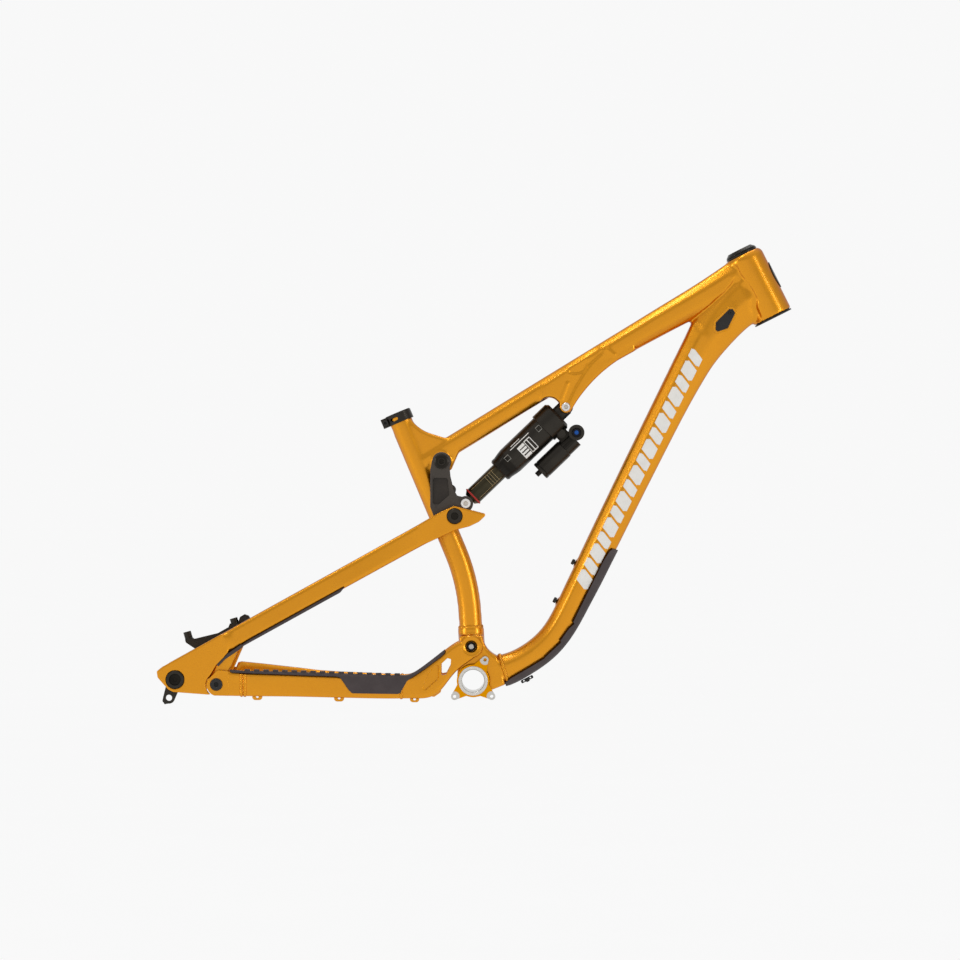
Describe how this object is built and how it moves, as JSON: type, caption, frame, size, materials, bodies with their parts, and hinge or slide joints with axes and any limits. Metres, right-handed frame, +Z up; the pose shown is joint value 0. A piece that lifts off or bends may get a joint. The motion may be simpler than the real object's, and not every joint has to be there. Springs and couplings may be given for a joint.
{
  "type": "bicycle frame",
  "caption": "Full-suspension bicycle frame with a four-bar rear linkage, rocker link and air shock with reservoir.",
  "frame": {"origin": "centre of the bottom-bracket shell, on the frame's middle plane", "axes": "+X forward, from the shell towards the head tube; +Y to the non-drive (left) side, along the bottom-bracket axis; +Z up"},
  "size_m": [0.9556, 0.1738, 0.6929],
  "materials": {
    "frame_paint": "gloss metallic golden yellow",
    "bare_alloy": "machined",
    "black_anodised": "black anodised",
    "rocker_alloy": "dark grey anodised",
    "badge": "gloss",
    "rubber": "matte moulded",
    "steel": "ground",
    "black_hardware": "black oxide",
    "bolt_silver": "plated",
    "ring_red": "matte",
    "knob_blue": "blue anodised"
  },
  "bodies": {
    "front_triangle": {"head_tube": "frame_paint", "headset_lower_cup": "black_anodised", "headset_upper_cup": "black_anodised", "headset_bearings": "steel", "headset_top_cover": "black_anodised", "headset_compression_ring": "steel", "head_badge": "badge", "seat_tube": "frame_paint", "seat_clamp": "black_anodised", "seat_clamp_bolt": "black_hardware", "down_tube": "frame_paint", "top_tube": "frame_paint", "pivot_housing": "frame_paint", "bb_shell": "bare_alloy", "chain_guide_tabs": "bare_alloy", "main_pivot_bearings": "steel", "seat_tube_gusset": "frame_paint", "shock_bracket": "frame_paint", "bottle_bosses": "frame_paint", "bottle_bolts": "black_hardware", "down_tube_guard": "rubber", "cable_clip": "rubber", "cable_port_covers": "rubber", "cable_port_rims": "frame_paint", "cover_screws": "black_hardware", "rocker_axle": "steel", "rocker_axle_caps": "black_anodised", "shock_upper_bolt": "bolt_silver"},
    "swingarm": {"yoke": "frame_paint", "chainstay_right": "frame_paint", "chainstay_left": "frame_paint", "chainstay_lugs": "frame_paint", "main_pivot_axle": "black_anodised", "stay_pivot_bolts": "black_hardware", "chainstay_guard": "rubber", "cable_guides": "frame_paint"},
    "seatstay": {"seatstay_right": "frame_paint", "seatstay_left": "frame_paint", "seatstay_bridge": "frame_paint", "derailleur_hanger": "black_anodised", "rear_axle": "steel", "rear_axle_cap": "black_anodised", "stay_pivot_bearings": "steel", "link_bolts": "black_anodised", "seatstay_guard": "rubber", "brake_adapter": "black_anodised", "brake_adapter_bolt": "black_hardware"},
    "rocker": {"rocker_link": "rocker_alloy", "rocker_bearings": "steel", "shock_lower_bolts": "bolt_silver"},
    "shock_body": {"shock_air_can": "black_anodised", "shock_rod": "steel", "shock_head": "black_anodised", "shock_reservoir": "black_anodised", "shock_upper_bushing": "bolt_silver"},
    "shock_shaft": {"shock_damper": "black_anodised", "shock_lower_bushing": "bolt_silver", "travel_ring": "ring_red"},
    "compression_knob": {"compression_knob": "knob_blue"}
  },
  "joints": [
    {"name": "main_pivot", "type": "hinge", "parent": "front_triangle", "child": "swingarm", "pos_m": [-0.0028, 0, 0.0518], "axis": [0, 1, 0], "range_deg": [0, 17.67], "stiffness_Nm_per_rad": 320},
    {"name": "stay_pivot", "type": "hinge", "parent": "swingarm", "child": "seatstay", "pos_m": [-0.384, 0, -0.003], "axis": [0, 1, 0], "range_deg": [-4.79, 0]},
    {"name": "rocker_pivot", "type": "hinge", "parent": "front_triangle", "child": "rocker", "pos_m": [-0.0476, 0, 0.3307], "axis": [0, 1, 0], "range_deg": [-40.42, 0]},
    {"name": "shock_mount", "type": "hinge", "parent": "front_triangle", "child": "shock_body", "pos_m": [0.1401, 0, 0.413], "axis": [0, 1, 0], "range_deg": [0, 1.97]},
    {"name": "shock_stroke", "type": "slide", "parent": "shock_body", "child": "shock_shaft", "axis": [0.7207, 0, 0.6933], "range_m": [0, 0.0501]},
    {"name": "compression_knob_turn", "type": "hinge", "parent": "shock_body", "child": "compression_knob", "pos_m": [0.1563, -0.0155, 0.37455], "axis": [0, 1, 0], "range_deg": [0, 100]}
  ],
  "couplings": [
    {"joint": "stay_pivot", "follows": "main_pivot", "ratio": -0.2698},
    {"joint": "rocker_pivot", "follows": "main_pivot", "ratio": -2.2845},
    {"joint": "shock_mount", "follows": "main_pivot", "ratio": 0.1103},
    {"joint": "shock_stroke", "follows": "main_pivot", "m_per_rad": 0.16212}
  ]
}
